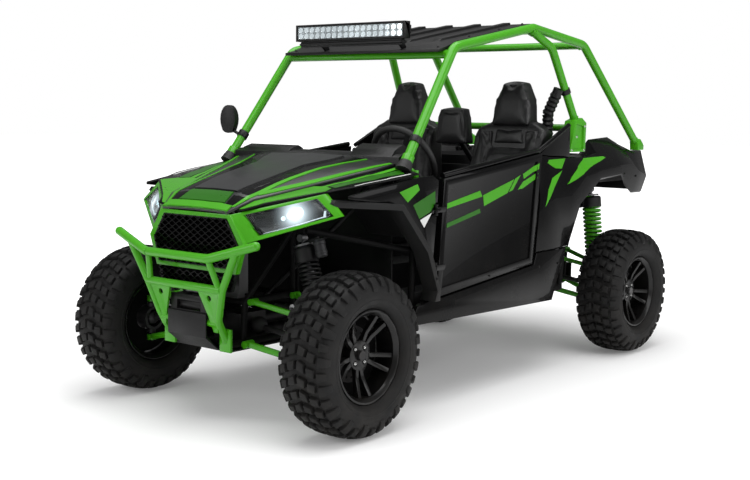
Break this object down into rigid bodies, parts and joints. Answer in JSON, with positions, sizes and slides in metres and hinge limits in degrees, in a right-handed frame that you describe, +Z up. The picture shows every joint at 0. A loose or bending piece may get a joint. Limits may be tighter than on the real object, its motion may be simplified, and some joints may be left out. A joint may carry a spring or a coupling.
{
  "type": "off-road buggy",
  "caption": "Two-seat side-by-side off-road buggy with tubular cage, hinged doors, light bar, steered front wheels and double-wishbone suspension.",
  "frame": {"origin": "ground level under the middle of the bounding box", "axes": "front of the vehicle towards -Y, driver's side towards +X, +Z up"},
  "size_m": [1.55, 3.0959, 1.788],
  "materials": {
    "green_paint": "gloss",
    "green_panel": "gloss",
    "black_steel": "satin",
    "black_plastic": "satin",
    "char_plastic": "grained",
    "gloss_black": "gloss",
    "steel": "satin",
    "cast": "cast",
    "seat_cover": "grained",
    "tyre": "matte",
    "rim_paint": "gloss",
    "clear_lens": "gloss",
    "red_lens": "gloss"
  },
  "bodies": {
    "chassis": {"frame_floor": "green_paint", "frame_front": "green_paint", "frame_rear": "green_paint", "skid_plate": "black_plastic", "tub": "char_plastic", "cage": "green_paint", "pillar_brackets": "green_paint", "door_hinges": "black_steel", "roof": "black_plastic", "light_bar": "black_steel", "mirrors": "black_plastic", "intake_hose": "black_plastic", "centre_pad": "seat_cover", "hood": "gloss_black", "front_fenders": "gloss_black", "front_flares": "char_plastic", "nose": "green_panel", "headlights": "clear_lens", "grille": "black_plastic", "radiator": "cast", "bumper": "green_paint", "winch": "black_steel", "rear_panels": "gloss_black", "cargo_bed": "black_plastic", "tail_panel": "char_plastic", "tail_lamps": "red_lens", "hitch": "black_steel", "sills": "gloss_black", "dash": "black_plastic", "steering_gear": "steel", "seat_left": "seat_cover", "seat_right": "seat_cover", "engine": "cast", "muffler": "steel", "driveline": "steel", "arms_front": "green_paint", "arms_rear": "green_paint", "shocks": "cast", "springs": "black_steel", "hub_carriers": "cast"},
    "door_left": {"door_left": "gloss_black"},
    "door_right": {"door_right": "gloss_black"},
    "knuckle_left": {"knuckle_left": "cast"},
    "knuckle_right": {"knuckle_right": "cast"},
    "rack": {"steering_rack": "steel"},
    "steering_wheel": {"steering_wheel": "black_plastic"},
    "wheel_fl": {"rim_fl": "rim_paint", "tyre_fl": "tyre"},
    "wheel_fr": {"rim_fr": "rim_paint", "tyre_fr": "tyre"},
    "wheel_rl": {"rim_rl": "rim_paint", "tyre_rl": "tyre"},
    "wheel_rr": {"rim_rr": "rim_paint", "tyre_rr": "tyre"}
  },
  "joints": [
    {"name": "door_left_hinge", "type": "hinge", "parent": "chassis", "child": "door_left", "pos_m": [0.648, -0.588, 0.77], "axis": [0, 0, -1], "range_deg": [0, 70]},
    {"name": "door_right_hinge", "type": "hinge", "parent": "chassis", "child": "door_right", "pos_m": [-0.648, -0.588, 0.77], "axis": [0, 0, 1], "range_deg": [0, 70]},
    {"name": "steer_left", "type": "hinge", "parent": "chassis", "child": "knuckle_left", "pos_m": [0.6, -1.16, 0.343], "axis": [0, 0, 1], "range_deg": [-30, 30]},
    {"name": "steer_right", "type": "hinge", "parent": "chassis", "child": "knuckle_right", "pos_m": [-0.6, -1.16, 0.343], "axis": [0, 0, 1], "range_deg": [-30, 30]},
    {"name": "rack_slide", "type": "slide", "parent": "chassis", "child": "rack", "axis": [1, 0, 0], "range_m": [-0.051, 0.051]},
    {"name": "steering_wheel_turn", "type": "hinge", "parent": "chassis", "child": "steering_wheel", "pos_m": [0.35, -0.44, 1.11], "axis": [0, 0.866, 0.5], "range_deg": [-270, 270]},
    {"name": "spin_front_left", "type": "hinge", "parent": "knuckle_left", "child": "wheel_fl", "pos_m": [0.65, -1.16, 0.343], "axis": [1, 0, 0], "continuous": true},
    {"name": "spin_front_right", "type": "hinge", "parent": "knuckle_right", "child": "wheel_fr", "pos_m": [-0.65, -1.16, 0.343], "axis": [1, 0, 0], "continuous": true},
    {"name": "spin_rear_left", "type": "hinge", "parent": "chassis", "child": "wheel_rl", "pos_m": [0.65, 1.195, 0.343], "axis": [1, 0, 0], "continuous": true},
    {"name": "spin_rear_right", "type": "hinge", "parent": "chassis", "child": "wheel_rr", "pos_m": [-0.65, 1.195, 0.343], "axis": [1, 0, 0], "continuous": true}
  ],
  "couplings": [
    {"joint": "steer_right", "follows": "steer_left", "ratio": 1},
    {"joint": "rack_slide", "follows": "steer_left", "m_per_rad": -0.096161},
    {"joint": "steering_wheel_turn", "follows": "steer_left", "ratio": 9}
  ]
}
